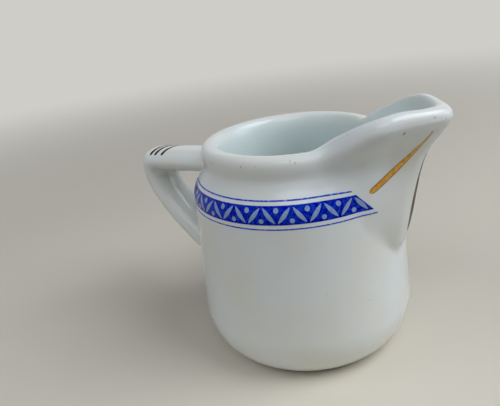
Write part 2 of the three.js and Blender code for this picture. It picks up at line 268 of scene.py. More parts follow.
class GildingSizes(PropertyGroup):
    stroke_start: angle("Stroke start", 23.9, "Thick end of the side stroke, from the keel")
    stroke_start_z: length("Stroke start height", 59.0, "Its height")
    stroke_bend: angle("Stroke bend", 4.4, "Point that the stroke bends towards, from the keel")
    stroke_bend_z: length("Stroke bend height", 64.6, "Its height")
    stroke_end: angle("Stroke end", 6.3, "Thin end of the side stroke, from the keel")
    stroke_end_z: length("Stroke end height", 74.2, "Its height")
    stroke_width: length("Stroke width", 1.85, "Widest part of the side stroke")
    keel_low: length("Keel stroke foot", 42.5, "Lower end of the stroke down the keel")
    keel_high: length("Keel stroke top", 66.5, "Upper end of it")
    keel_width: length("Keel stroke width", 2.5, "Widest part of it")
    handle_stroke: length("Handle stroke", 59.6, "Outermost stroke on the handle, from the axis")
    handle_pitch: length("Handle pitch", 2.5, "From the outermost handle stroke to the next")
    handle_slant: number(
        "Handle slant", 0.27, "How far a stroke runs along the handle while it crosses it")
    handle_turn: angle("Handle turn", 51.0, "How far down the side of the handle a stroke begins")
    handle_width: length("Handle stroke width", 1.3, "Widest part of a handle stroke")
    film: length("Film", 0.05, "How far print and gilding stand on the glaze")


class FinishColours(PropertyGroup):
    porcelain: colour("Porcelain", "e4e9ea", "White glaze over the body")
    porcelain_warm: colour("Porcelain, warm", "e3e4de", "Slightly warmer clouds in it")
    pool: colour("Glaze pool", "dae7e6", "Where the glaze lies thicker, inside the vessel")
    biscuit: colour("Biscuit", "cfc6b4", "Bare fired clay of the foot ring")
    cobalt_deep: colour("Cobalt, deep", "0206ac", "Print where the colour lies thick")
    cobalt_pale: colour("Cobalt, pale", "1a52d8", "Print where it lies thin")
    reserved: colour("Reserved white", "94abd2", "Leaves and dots, with a breath of the blue in them")
    gold: colour("Gold", "c0842a", "Fired gilding")
    gold_pale: colour("Gold, pale", "e0b45e", "Gilding where the brush left it thick")
    # painted shade and painted dark reflection: this colour darkens the edges of every stroke, and with the
    # next colour gives the keel and handle strokes the dark look of gold that mirrors dark surroundings
    gold_painted_dark: colour("Gold, dark", "3c2f1a", "Gilding rubbed down to its dark ground")
    gold_brown: colour("Gold, brown", "705428", "Brighter streaks left in it")
    fleck: colour("Fleck", "b4a68f", "Kiln flecks in the glaze")


class StudioSettings(PropertyGroup):
    floor: colour("Floor", "dad4c6", "Pale floor and sweep")
    floor_bounce: colour("Floor, bounce", "6a665e", "Paper farther off, in the light it throws on the jug")
    backdrop: colour("Backdrop", "d9d7d1", "The sweep far behind the jug, as the camera sees it")
    sky: colour("Sky", "e4eaf0", "Soft light from all round")
    sky_strength: number("Sky strength", 0.07, "Of that light")
    lamp: colour("Lamps", "f6faff", "Cool daylight of the softboxes")
    key_power: watts("Key", 3.0, "Softbox high on the right, before the jug")
    front_power: watts("Front", 1.05, "Softbox high before the jug")
    fill_power: watts("Fill", 1.15, "Softbox on the left, not seen in the glaze")
    side_power: watts("Side", 1.1, "Softbox low on the right")
    window_power: watts("Window", 0.45, "Small light high on the right, seen in the glaze")
    eye: FloatVectorProperty(
        name="Eye", description="Camera, from the foot of the vessel's axis", subtype='XYZ', unit='LENGTH',
        default=(82.27 * MM, -135.32 * MM, 111.51 * MM))
    view_turn: angle("View turn", 126.98, "Direction that the camera looks in, from +X")
    view_dip: angle("View dip", 21.59, "How far it looks down")
    view_roll: angle("View roll", 8.0, "How far it is tilted, which leans the jug back")
    lens: number("Lens", 36.8, "Focal length for a 36 mm wide picture")


class JugSettings(PropertyGroup):
    vessel: PointerProperty(type=VesselSizes)
    spout: PointerProperty(type=SpoutSizes)
    handle: PointerProperty(type=HandleSizes)
    band: PointerProperty(type=BandSizes)
    gilding: PointerProperty(type=GildingSizes)
    colours: PointerProperty(type=FinishColours)
    studio: PointerProperty(type=StudioSettings)


def plain(group):
    """The values of a property group, quick to read in a loop."""
    return SimpleNamespace(**{name: getattr(group, name) for name in group.__annotations__})


def soft_step(a, b, k):
    """How far a soft joint of two outlines departs from the sharp one."""
    return (max(k - abs(a - b), 0) / k) ** 3 * k / 6


def soft_max(a, b, k):
    """The larger of two outlines, joined with a soft crease about k wide."""
    return max(a, b) + soft_step(a, b, k)


def soft_min(a, b, k):
    """The smaller of two outlines, joined with a soft edge about k wide."""
    return min(a, b) - soft_step(a, b, k)


def spline(points, count):
    """Points along a smooth curve through a few given ones."""
    spans = len(points) - 1
    curve = []
    for i in range(count + 1):
        at = i / count * spans
        k = min(int(at), spans - 1)
        t = at - k
        before, start, end, after = (points[min(max(k + n, 0), spans)] for n in (-1, 0, 1, 2))
        leave = (end - before) / 2
        arrive = (after - start) / 2
        bend = 2 * start - 2 * end + leave + arrive
        lean = 3 * end - 3 * start - 2 * leave - arrive
        curve.append(((bend * t + lean) * t + leave) * t + start)
    return curve


def bezier(start, bend, end, t):
    """A point of the curve that leaves its start towards the bend and reaches its end from there."""
    return mix(mix(start, bend, t), mix(bend, end, t), t)


class JugShape:
    """The glazed surface as formulas, in metres about the vessel's axis, with the spout towards +X."""

    def __init__(self, jug):
        self.vessel = plain(jug.vessel)
        self.spout = plain(jug.spout)
        self.handle = plain(jug.handle)
        v, s = self.vessel, self.spout
        self.neck_z = v.wall_height + v.shoulder_rise
        self.rim_z = self.neck_z + v.rim_flare
        self.tip_z = self.rim_z + s.lip_rise
        self.keel_foot_z = self.rim_z - s.depth
        stem_z = self.keel_foot_z + s.stem_rise
        self.keel = spline([
            Vector((self.outside_radius(self.keel_foot_z), self.keel_foot_z)),
            Vector((self.outside_radius(stem_z) + s.stem_proud, stem_z)),
            Vector((v.neck_radius + s.throat_proud, self.rim_z - s.throat_drop)),
            Vector((s.reach - s.chin_back, self.tip_z - s.chin_drop)),
            Vector((s.reach, self.tip_z + s.nose_rise)),
            Vector((s.reach, self.tip_z + v.rim_roll)),
        ], KEEL_STEPS)

    def outside_radius(self, z):
        """Outside radius of the turned vessel: quarter ellipse, wall, shoulder, flare, half of the roll."""
        v = self.vessel
        if z < v.corner_height:
            drop = 1 - max(z, 0) / v.corner_height
            return v.foot_radius + (v.belly_radius - v.foot_radius) * math.sqrt(1 - drop * drop)
        if z > self.rim_z:
            up = clamp01((z - self.rim_z) / v.rim_roll) ** (1 / v.rim_fullness)
            return v.rim_radius - v.rim_width / 2 * (1 - math.sqrt(1 - up * up) ** v.rim_fullness)
        up = clamp01((z - v.corner_height) / (v.wall_height - v.corner_height))
        shoulder = smoothstep((z - v.wall_height) / v.shoulder_rise)
        flare = smoothstep((z - self.neck_z) / v.rim_flare)
        wall = mix(v.belly_radius, v.shoulder_radius, up)
        return mix(mix(wall, v.neck_radius, shoulder), v.rim_radius, flare)

    def inside_radius(self, z):
        """Inside radius of the turned vessel, which narrows to the mouth in one long sweep."""
        v = self.vessel
        up = smoothstep((z - v.hollow_foot) / (self.rim_z - v.mouth_roll - v.hollow_foot))
        return mix(v.belly_radius - v.wall, v.rim_radius - v.rim_width, up)

    def thickness(self, z):
        """Thickness of the spout's wall, which swells into the rolled rim."""
        v = self.vessel
        return mix(v.wall, v.rim_width, smoothstep((z - v.wall_height) / (self.rim_z - v.wall_height)))

    def keel_reach(self, z):
        """Forward edge of the spout in the plane of symmetry."""
        if z <= self.keel[0].y:
            return self.keel[0].x
        for low, high in zip(self.keel, self.keel[1:]):
            if high.y >= z:
                return mix(low.x, high.x, (z - low.y) / (high.y - low.y))
        return self.keel[-1].x

    def plan_radius(self, turn, radius, level, inset):
        """Radius in plan, at one level, of a circle with the spout's bow drawn out of it."""
        s = self.spout
        turn = abs(turn)
        if turn >= math.pi / 2 or level <= self.keel_foot_z:
            return radius
        up = clamp01((level - self.keel_foot_z) / (self.tip_z - self.keel_foot_z))
        slope = mix(s.bow_slope_foot, s.bow_slope_lip, up)
        reach = self.keel_reach(level) - inset * math.hypot(1, slope)
        rounded = math.hypot(math.sin(turn), s.bow_round) - s.bow_round
        bow = reach / (math.cos(turn) + slope * rounded)
        flank = (mix(s.half_foot, s.half_width, up) - inset) / math.sin(max(turn, LEAST_TURN))
        crease = s.crease_round * up ** s.crease_spread
        drawn = soft_max(radius, soft_min(bow, flank, s.flank_round), max(crease, LEAST_CREASE))
        drawn = mix(radius, drawn, smoothstep((level - self.keel_foot_z) / s.foot_fade))
        full = smoothstep(turn / PUFF_TURN) * (1 - smoothstep((up - PUFF_FADE_START) / PUFF_FADE))
        return drawn + s.puff * full * (1 - math.exp((radius - drawn) / s.puff_round))

    def lip_climb(self, turn):
        """How far the lip climbs above the rim in one direction."""
        v, s = self.vessel, self.spout
        forward = self.plan_radius(turn, v.rim_radius, self.tip_z, 0) * math.cos(turn) - v.rim_width / 2
        dip = smoothstep((forward - s.reach + v.rim_width / 2) / s.dip_length + 1)
        return s.lip_rise * smoothstep((forward - s.rise_start) / s.rise_length) - s.tip_dip * dip

    def level(self, climb, z):
        """Height of a point of the turned vessel once the lip has climbed."""
        up = clamp01((z - self.keel_foot_z) / (self.rim_z - self.keel_foot_z))
        return z + climb * up ** self.spout.rise_spread

    def draw_out(self, turn, radius, z):
        """Where a point of the turned vessel goes when the spout is drawn out of it."""
        climb = self.lip_climb(turn)
        radius, z = self.rounder_roll(radius, z, clamp01(climb / self.spout.lip_rise))
        level = self.level(climb, z)
        inset = min(self.outside_radius(min(z, self.rim_z)) - radius, self.thickness(z))
        inset *= mix(1, self.spout.lip_thinning, (level - z) / self.spout.lip_rise)
        inset += self.hollow(turn, z)
        drawn = self.plan_radius(turn, radius, level, inset)
        return Vector((drawn * math.cos(turn), drawn * math.sin(turn), level))

    def rounder_roll(self, radius, z, share):
        """The outer half of the roll, full round the mouth, is a plain half ellipse at the lip."""
        v = self.vessel
        side = 1 - (v.rim_radius - radius) / (v.rim_width / 2)
        if z <= self.rim_z or side <= 0:
            return radius, z
        power = mix(1, 1 / v.rim_fullness, share)
        up = clamp01((z - self.rim_z) / v.rim_roll)
        return v.rim_radius - v.rim_width / 2 * (1 - side ** power), self.rim_z + v.rim_roll * up ** power

    def hollow(self, turn, z):
        """Depth of the hollow under the lip at a height of the turned vessel, nothing at the keel."""
        s = self.spout
        turn = abs(turn)
        deepest = self.rim_z - s.groove_drop
        rise = smoothstep((z - deepest) / s.groove_below + 1)
        fall = 1 - smoothstep((z - deepest) / s.groove_drop)
        fade = smoothstep((turn - HOLLOW_TURN) / HOLLOW_FADE)
        share = smoothstep(turn / HOLLOW_TURN) * mix(1, HOLLOW_REST, fade)
        return s.groove * rise * fall * share

    def turned_height(self, turn, level):
        """Height on the turned vessel of the outside point that ends up at a level."""
        climb = self.lip_climb(turn)
        low, high = 0.0, self.rim_z + self.vessel.rim_roll
        for _ in range(HALVINGS):
            middle = (low + high) / 2
            if self.level(climb, middle) < level:
                low = middle
            else:
                high = middle
        return (low + high) / 2

    def outside(self, turn, level):
        """A point on the outside, by its direction and level."""
        z = self.turned_height(turn, level)
        return self.draw_out(turn, self.outside_radius(z), z)

    def on_glaze(self, turn, level, lift):
        """A point on the glazed outside of the vessel, lifted off it, in the frame."""
        here = self.outside(turn, level)
        along = self.outside(turn + GLAZE_STEP / here.length, level) - here
        up = self.outside(turn, level + GLAZE_STEP) - here
        return here + along.cross(up).normalized() * lift + AXIS

    def handle_edges(self):
        """Outer and inner edge of the handle from the side, as reach from the axis and height."""
        h, v = self.handle, self.vessel
        outer = [
            Vector((v.neck_radius - v.wall, self.rim_z - h.top_drop)),
            Vector((h.reach, self.rim_z - h.top_drop - h.top_dip)),
            Vector((h.bow_out, self.rim_z - h.bow_drop)),
            Vector((v.belly_radius - v.wall / 2, self.rim_z - h.foot_drop)),
        ]
        inner = set_in(outer, h.thickness)
        return limb_curve(outer, h.elbow_outside), limb_curve(inner, h.elbow_inside)

    def handle_point(self, outer, inner, turn, lift):
        """A point on the handle's oval section, which flares where it nears the wall, in the frame."""
        middle = (outer + inner) / 2
        half = (outer - inner) / 2
        bare = self.oval(middle, half, self.handle.width / 2, turn)
        gap = math.hypot(bare.x, bare.y) - self.outside_radius(bare.z)
        fillet = self.handle.root_fillet
        short = fillet - min(max(gap, 0), fillet)
        flare = fillet - math.sqrt(fillet * fillet - short * short) + lift
        grown = half * (1 + flare / half.length)
        point = self.oval(middle, grown, self.handle.width / 2 + flare, turn)
        # the ends stop inside the thickness of the wall
        buried = self.outside_radius(point.z) - self.vessel.wall / 2
        radius = math.hypot(point.x, point.y)
        if radius < buried:
            point.x *= buried / radius
            point.y *= buried / radius
        return point + AXIS

    @staticmethod
    def oval(middle, half, half_width, turn):
        """A point on the handle's bare oval section."""
        across = middle + half * math.cos(turn)
        return Vector((-across.x, half_width * math.sin(turn), across.y))


def set_in(points, distance):
    """A row of points set in to its right by a distance, corners kept sharp."""
    normals = []
    for start, end in zip(points, points[1:]):
        along = (end - start).normalized()
        normals.append(Vector((along.y, -along.x)))
    moved = []
    for i, point in enumerate(points):
        before = normals[max(i - 1, 0)]
        after = normals[min(i, len(normals) - 1)]
        middle = (before + after).normalized()
        moved.append(point + middle * (distance / middle.dot(before)))
    return moved


def limb_curve(corners, rounding):
    """One edge of the handle: straight upper limb, rounded elbow, bowed lower limb."""
    wall, elbow, bow, foot = corners
    start = elbow + (wall - elbow).normalized() * rounding
    end = elbow + (bow - elbow).normalized() * rounding
    upper, corner, lower = HANDLE_STEPS
    curve = [wall]
    curve += [mix(wall, start, t) for t in steps(0, 1, upper)]
    curve += [bezier(start, elbow, end, t) for t in steps(0, 1, corner)]
    curve += [bezier(end, bow, foot, t) for t in steps(0, 1, lower)]
    return curve


# Modelling helpers

def start_alone():
    """Leaves edit mode and deselects everything, so that the next operator acts on its own piece."""
    if bpy.context.object and bpy.context.object.mode != 'OBJECT':
        bpy.ops.object.mode_set(mode='OBJECT')
    bpy.ops.object.select_all(action='DESELECT')


def select_only(*pieces):
    start_alone()
    for piece in pieces:
        piece.select_set(True)
    bpy.context.view_layer.objects.active = pieces[0]


def named(piece, name):
    piece.name = name
    piece.data.name = name
    return piece


def drawn_line(name, points):
    """A line drawn as by hand: a small plane merged to one point, then extruded from point to point."""
    start_alone()
    bpy.ops.mesh.primitive_plane_add(size=MM, location=points[0])
    piece = named(bpy.context.object, name)
    bpy.ops.object.transform_apply(location=True, rotation=False, scale=False)
    bpy.ops.object.mode_set(mode='EDIT')
    bpy.ops.mesh.select_all(action='SELECT')
    bpy.ops.mesh.merge(type='CENTER')
    for start, end in zip(points, points[1:]):
        bpy.ops.mesh.extrude_vertices_move(TRANSFORM_OT_translate={"value": end - start})
    return piece


def spun(columns, centre, seam, inside):
    """Spins the line that is being drawn into a shell, and merges its seam and its poles."""
    bpy.ops.mesh.select_all(action='SELECT')
    bpy.ops.mesh.spin(steps=columns, angle=2 * math.pi, center=centre, axis=(0, 0, 1))
    bpy.ops.mesh.select_all(action='SELECT')
    bpy.ops.mesh.remove_doubles(threshold=seam)
    bpy.ops.mesh.normals_make_consistent(inside=inside)
    bpy.ops.object.mode_set(mode='OBJECT')
    bpy.ops.object.shade_smooth()


def laid_grid(name, columns, rows, place):
    """A grid whose points are moved to place(u, v), with u and v from 0 to 1 along its sides."""
    start_alone()
    bpy.ops.mesh.primitive_grid_add(x_subdivisions=columns, y_subdivisions=rows, size=1)
    piece = named(bpy.context.object, name)
    for vertex in piece.data.vertices:
        vertex.co = place(clamp01(vertex.co.x + 0.5), clamp01(vertex.co.y + 0.5))
    return piece


def laid_disc(name, sides, place):
    """A disc whose points are moved to place(x, y), with x and y on the unit circle or at its middle."""
    start_alone()
    bpy.ops.mesh.primitive_circle_add(vertices=sides, radius=1, fill_type='TRIFAN')
    piece = named(bpy.context.object, name)
    for vertex in piece.data.vertices:
        vertex.co = place(vertex.co.x, vertex.co.y)
    return piece


def joined(name, pieces):
    select_only(*pieces)
    bpy.ops.object.join()
    return named(bpy.context.object, name)


def filmed(piece, thickness):
    """Gives a laid sheet its thickness, down into the glaze."""
    select_only(piece)
    solidify = piece.modifiers.new("film", 'SOLIDIFY')
    solidify.thickness = thickness
    solidify.offset = -1
    bpy.ops.object.modifier_apply(modifier=solidify.name)
    bpy.ops.object.shade_smooth_by_angle(angle=SMOOTH_FOLD)
    return piece


def mirrored(piece, name):
    """A copy on the other side of the plane through spout and handle."""
    select_only(piece)
    bpy.ops.object.duplicate(linked=False)
    copy = named(bpy.context.object, name)
    bpy.ops.transform.resize(value=(1, -1, 1), center_override=(0, 0, 0))
    bpy.ops.object.transform_apply(location=True, rotation=True, scale=True)
    bpy.ops.object.mode_set(mode='EDIT')
    bpy.ops.mesh.select_all(action='SELECT')
    bpy.ops.mesh.normals_make_consistent(inside=False)
    bpy.ops.object.mode_set(mode='OBJECT')
    return copy


def finished(piece, material):
    """Gives a piece its material and lets it move with the jug."""
    piece.data.materials.clear()
    piece.data.materials.append(material)
    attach(piece, "root")
    return piece


# Materials

def add_node(tree, kind, settings=None, inputs=None):
    """Adds a node, sets its fields, and fills or links its inputs by name or number."""
    made = tree.nodes.new(kind)
    for field, value in (settings or {}).items():
        setattr(made, field, value)
    for socket, value in (inputs or {}).items():
        if isinstance(value, bpy.types.NodeSocket):
            tree.links.new(value, made.inputs[socket])
        else:
            made.inputs[socket].default_value = value
    return made


def new_material(name):
    """A material with only its surface shader and its output."""
    material = bpy.data.materials.new(name)
    material.use_nodes = True
    tree = material.node_tree
    tree.nodes.clear()
    shader = add_node(tree, "ShaderNodeBsdfPrincipled")
    add_node(tree, "ShaderNodeOutputMaterial", inputs={"Surface": shader.outputs["BSDF"]})
    return material, tree, shader


def rgba(linear):
    return (*linear, 1.0)


def per_size(size):
    """Scale of a noise whose lumps are about this size, for Object coordinates in metres."""
    return 1 / size


def glazed_porcelain(colours):
    """Hard-paste porcelain, cast, dipped in clear glaze and fired.

    A glassy, nearly white skin: cool where the glaze lies thick, with faint warm clouds, a slow
    ripple that bends its reflections, a few kiln specks, and a bare, dry foot ring.
    """
    material, tree, shader = new_material("glazed_porcelain")
    place = add_node(tree, "ShaderNodeTexCoord").outputs["Object"]
    clouds = add_node(tree, "ShaderNodeTexNoise", inputs={
        "Vector": place, "Scale": per_size(22 * MM), "Detail": 3.0, "Roughness": 0.45})
    cloud_share = add_node(tree, "ShaderNodeMapRange", inputs={
        "Value": clouds.outputs["Fac"], "From Min": 0.42, "From Max": 0.68})
    body = add_node(tree, "ShaderNodeMix", {"data_type": 'RGBA'}, {
        "Factor": cloud_share.outputs["Result"], 6: rgba(colours.porcelain), 7: rgba(colours.porcelain_warm)})
    pool = add_node(tree, "ShaderNodeAttribute", {"attribute_name": "glaze_pool"})
    pooled = add_node(tree, "ShaderNodeMix", {"data_type": 'RGBA'}, {
        "Factor": pool.outputs["Fac"], 6: body.outputs[2], 7: rgba(colours.pool)})

    # kiln specks up to half a millimetre across, where the glaze meets the middle of a 9 mm cell
    cells = add_node(tree, "ShaderNodeTexVoronoi", inputs={"Vector": place, "Scale": per_size(9 * MM)})
    speck = add_node(tree, "ShaderNodeMapRange", {"interpolation_type": 'SMOOTHSTEP'}, {
        "Value": cells.outputs["Distance"], "From Min": 0.018, "From Max": 0.034,
        "To Min": 0.45, "To Max": 0.0})
    specked = add_node(tree, "ShaderNodeMix", {"data_type": 'RGBA'}, {
        "Factor": speck.outputs["Result"], 6: pooled.outputs[2], 7: rgba(colours.fleck)})

    # the glaze is wiped off the foot ring
    height = add_node(tree, "ShaderNodeSeparateXYZ", inputs={"Vector": place}).outputs["Z"]
    wiped = add_node(tree, "ShaderNodeMapRange", inputs={
        "Value": height, "From Min": 0.25 * MM, "From Max": 0.5 * MM, "To Min": 1.0, "To Max": 0.0})
    grit = add_node(tree, "ShaderNodeTexNoise", inputs={"Vector": place, "Scale": per_size(0.5 * MM)})
    surface = add_node(tree, "ShaderNodeMix", {"data_type": 'RGBA'}, {
        "Factor": wiped.outputs["Result"], 6: specked.outputs[2], 7: rgba(colours.biscuit)})

    smear = add_node(tree, "ShaderNodeTexNoise", inputs={
        "Vector": place, "Scale": per_size(14 * MM), "Detail": 4.0})
    gloss = add_node(tree, "ShaderNodeMapRange", inputs={
        "Value": smear.outputs["Fac"], "From Min": 0.3, "From Max": 0.7, "To Min": 0.09, "To Max": 0.17})
    rough = add_node(tree, "ShaderNodeMix", inputs={
        "Factor": wiped.outputs["Result"], "A": gloss.outputs["Result"], "B": 0.75})

    ripple = add_node(tree, "ShaderNodeTexNoise", inputs={
        "Vector": place, "Scale": per_size(9 * MM), "Detail": 1.0})
    slow = add_node(tree, "ShaderNodeBump", inputs={
        "Strength": 0.35, "Distance": 0.12 * MM, "Height": ripple.outputs["Fac"]})
    dry = add_node(tree, "ShaderNodeMath", {"operation": 'MULTIPLY'}, {
        0: grit.outputs["Fac"], 1: wiped.outputs["Result"]})
    bumped = add_node(tree, "ShaderNodeBump", inputs={
        "Strength": 0.5, "Distance": 0.06 * MM, "Height": dry.outputs["Value"],
        "Normal": slow.outputs["Normal"]})

    tree.links.new(surface.outputs[2], shader.inputs["Base Color"])
    tree.links.new(rough.outputs["Result"], shader.inputs["Roughness"])
    tree.links.new(bumped.outputs["Normal"], shader.inputs["Normal"])
    shader.inputs["IOR"].default_value = 1.5
    return material


def cobalt_print(colours, name, gaps, thick):
    """Cobalt transfer print under clear glaze.

    Deep blue, mottled where the paper held less colour and pricked with pale pinholes, under the
    same gloss as the white. The thin lines are paler, which thick sets, and broken here and there,
    which gaps sets.
    """
    material, tree, shader = new_material(name)
    place = add_node(tree, "ShaderNodeTexCoord").outputs["Object"]
    mottle = add_node(tree, "ShaderNodeTexNoise", inputs={
        "Vector": place, "Scale": per_size(0.9 * MM), "Detail": 3.0, "Roughness": 0.7})
    thin = add_node(tree, "ShaderNodeMapRange", inputs={
        "Value": mottle.outputs["Fac"], "From Min": thick, "From Max": thick + 0.3})
    blue = add_node(tree, "ShaderNodeMix", {"data_type": 'RGBA'}, {
        "Factor": thin.outputs["Result"], 6: rgba(colours.cobalt_deep), 7: rgba(colours.cobalt_pale)})
    lost = add_node(tree, "ShaderNodeTexNoise", inputs={
        "Vector": place, "Scale": per_size(0.6 * MM), "Detail": 2.0})
    bare = add_node(tree, "ShaderNodeMapRange", inputs={
        "Value": lost.outputs["Fac"], "From Min": gaps, "From Max": gaps + 0.06})
    surface = add_node(tree, "ShaderNodeMix", {"data_type": 'RGBA'}, {
        "Factor": bare.outputs["Result"], 6: blue.outputs[2], 7: rgba(colours.reserved)})
    tree.links.new(surface.outputs[2], shader.inputs["Base Color"])
    shader.inputs["Roughness"].default_value = 0.13
    shader.inputs["Specular IOR Level"].default_value = 0.25
    shader.inputs["Specular Tint"].default_value = rgba(colours.cobalt_pale)
    return material


def reserved_white(colours):
    """Leaves and dots that the print leaves open: white glaze with a breath of the blue beside it."""
    material, tree, shader = new_material("reserved_white")
    place = add_node(tree, "ShaderNodeTexCoord").outputs["Object"]
    bleed = add_node(tree, "ShaderNodeTexNoise", inputs={
        "Vector": place, "Scale": per_size(0.8 * MM), "Detail": 2.0})
    share = add_node(tree, "ShaderNodeMapRange", inputs={
        "Value": bleed.outputs["Fac"], "From Min": 0.42, "From Max": 0.75, "To Min": 0.0, "To Max": 0.3})
    surface = add_node(tree, "ShaderNodeMix", {"data_type": 'RGBA'}, {
        "Factor": share.outputs["Result"], 6: rgba(colours.reserved), 7: rgba(colours.cobalt_pale)})
    tree.links.new(surface.outputs[2], shader.inputs["Base Color"])
    shader.inputs["Roughness"].default_value = 0.13
    shader.inputs["Specular IOR Level"].default_value = 0.25
    return material


def fired_gilding(colours, name, low, high):
    """Liquid gold brushed over the glaze and fired.

    A thin warm metal film, grainy and patchy along the brush, duller than polished gold, with painted
    shade that darkens each stroke towards its edges.
    """
    material, tree, shader = new_material(name)
    place = add_node(tree, "ShaderNodeTexCoord")
    patches = add_node(tree, "ShaderNodeTexNoise", inputs={
        "Vector": place.outputs["Object"], "Scale": per_size(1.3 * MM), "Detail": 6.0, "Roughness": 0.75})
    share = add_node(tree, "ShaderNodeMapRange", inputs={
        "Value": patches.outputs["Fac"], "From Min": 0.38, "From Max": 0.66})
    brushed = add_node(tree, "ShaderNodeMix", {"data_type": 'RGBA'}, {
        "Factor": share.outputs["Result"], 6: rgba(low), 7: rgba(high)})
    # painted shade: the colour darkens towards both edges of a stroke, across its UV width
    across = add_node(tree, "ShaderNodeSeparateXYZ", inputs={"Vector": place.outputs["UV"]}).outputs["Y"]
    off = add_node(tree, "ShaderNodeMath", {"operation": 'SUBTRACT'}, {0: across, 1: 0.5})
    aside = add_node(tree, "ShaderNodeMath", {"operation": 'ABSOLUTE'}, {0: off.outputs["Value"]})
    edge_shade = add_node(tree, "ShaderNodeMapRange", inputs={
        "Value": aside.outputs["Value"], "From Min": 0.25, "From Max": 0.5, "To Min": 0.0, "To Max": 0.75})
    surface = add_node(tree, "ShaderNodeMix", {"data_type": 'RGBA'}, {
        "Factor": edge_shade.outputs["Result"], 6: brushed.outputs[2], 7: rgba(colours.gold_painted_dark)})
    gloss = add_node(tree, "ShaderNodeMapRange", inputs={
        "Value": patches.outputs["Fac"], "From Min": 0.3, "From Max": 0.7, "To Min": 0.5, "To Max": 0.3})
    brush = add_node(tree, "ShaderNodeBump", inputs={
        "Strength": 0.4, "Distance": 0.05 * MM, "Height": patches.outputs["Fac"]})
    tree.links.new(surface.outputs[2], shader.inputs["Base Color"])
    tree.links.new(gloss.outputs["Result"], shader.inputs["Roughness"])
    tree.links.new(brush.outputs["Normal"], shader.inputs["Normal"])
    shader.inputs["Metallic"].default_value = 0.85
    return material


def kiln_fleck(colours):
    """Small brown marks on the rim and the lip: iron flecks fired into the glaze."""
    material, tree, shader = new_material("kiln_fleck")
    place = add_node(tree, "ShaderNodeTexCoord").outputs["Object"]
    fade = add_node(tree, "ShaderNodeTexNoise", inputs={"Vector": place, "Scale": per_size(0.5 * MM)})
    share = add_node(tree, "ShaderNodeMapRange", inputs={
        "Value": fade.outputs["Fac"], "From Min": 0.35, "From Max": 0.65, "To Min": 0.1, "To Max": 0.7})
    surface = add_node(tree, "ShaderNodeMix", {"data_type": 'RGBA'}, {
        "Factor": share.outputs["Result"], 6: rgba(colours.fleck), 7: rgba(colours.porcelain_warm)})
    tree.links.new(surface.outputs[2], shader.inputs["Base Color"])
    shader.inputs["Roughness"].default_value = 0.2
    return material


def studio_paper(studio):
    """Matt paper of the floor and the sweep, very slightly uneven in tone, paler far behind the jug."""
    material, tree, shader = new_material("studio_paper")
    place = add_node(tree, "ShaderNodeTexCoord").outputs["Object"]
    tone = add_node(tree, "ShaderNodeTexNoise", inputs={
        "Vector": place, "Scale": per_size(0.25), "Detail": 2.0})
    shade = add_node(tree, "ShaderNodeMapRange", inputs={
        "Value": tone.outputs["Fac"], "From Min": 0.3, "From Max": 0.7, "To Min": 0.98, "To Max": 1.02})

    # the paper is pale where it is looked at, and throws its full light on the jug only from close by
    away = add_node(tree, "ShaderNodeVectorMath", {"operation": 'LENGTH'}, {0: place})
    near = add_node(tree, "ShaderNodeMapRange", {"interpolation_type": 'SMOOTHSTEP'}, {
        "Value": away.outputs["Value"], "From Min": 0.09, "From Max": 0.26, "To Min": 1.0, "To Max": 0.0})
    path = add_node(tree, "ShaderNodeLightPath").outputs
    seen = add_node(tree, "ShaderNodeMath", {"operation": 'ADD'}, {
        0: path["Is Camera Ray"], 1: path["Is Glossy Ray"]})
    looked = add_node(tree, "ShaderNodeMath", {"operation": 'ADD', "use_clamp": True}, {
        0: seen.outputs["Value"], 1: path["Is Transmission Ray"]})
    pale = add_node(tree, "ShaderNodeMath", {"operation": 'MAXIMUM'}, {
        0: looked.outputs["Value"], 1: near.outputs["Result"]})
    paper_tone = add_node(tree, "ShaderNodeMix", {"data_type": 'RGBA'}, {
        "Factor": pale.outputs["Value"], 6: rgba(studio.floor_bounce), 7: rgba(studio.floor)})
    surface = add_node(tree, "ShaderNodeMix", {"data_type": 'RGBA', "blend_type": 'MULTIPLY'}, {
        "Factor": 1.0, 6: paper_tone.outputs[2], 7: shade.outputs["Result"]})
    tree.links.new(surface.outputs[2], shader.inputs["Base Color"])
    shader.inputs["Roughness"].default_value = 0.9

    # away from the jug it is seen as if lit from behind
    far = add_node(tree, "ShaderNodeMapRange", {"interpolation_type": 'SMOOTHSTEP'}, {
        "Value": away.outputs["Value"], "From Min": 0.12, "From Max": 0.75})
    share = add_node(tree, "ShaderNodeMath", {"operation": 'MULTIPLY'}, {
        0: looked.outputs["Value"], 1: far.outputs["Result"]})
    glow = add_node(tree, "ShaderNodeEmission", inputs={"Color": rgba(studio.backdrop), "Strength": 0.9})
    paper = add_node(tree, "ShaderNodeMixShader", inputs={
        0: share.outputs["Value"], 1: shader.outputs["BSDF"], 2: glow.outputs["Emission"]})
    output = next(node for node in tree.nodes if node.bl_idname == "ShaderNodeOutputMaterial")
    tree.links.new(paper.outputs["Shader"], output.inputs["Surface"])
    return material


# Pieces

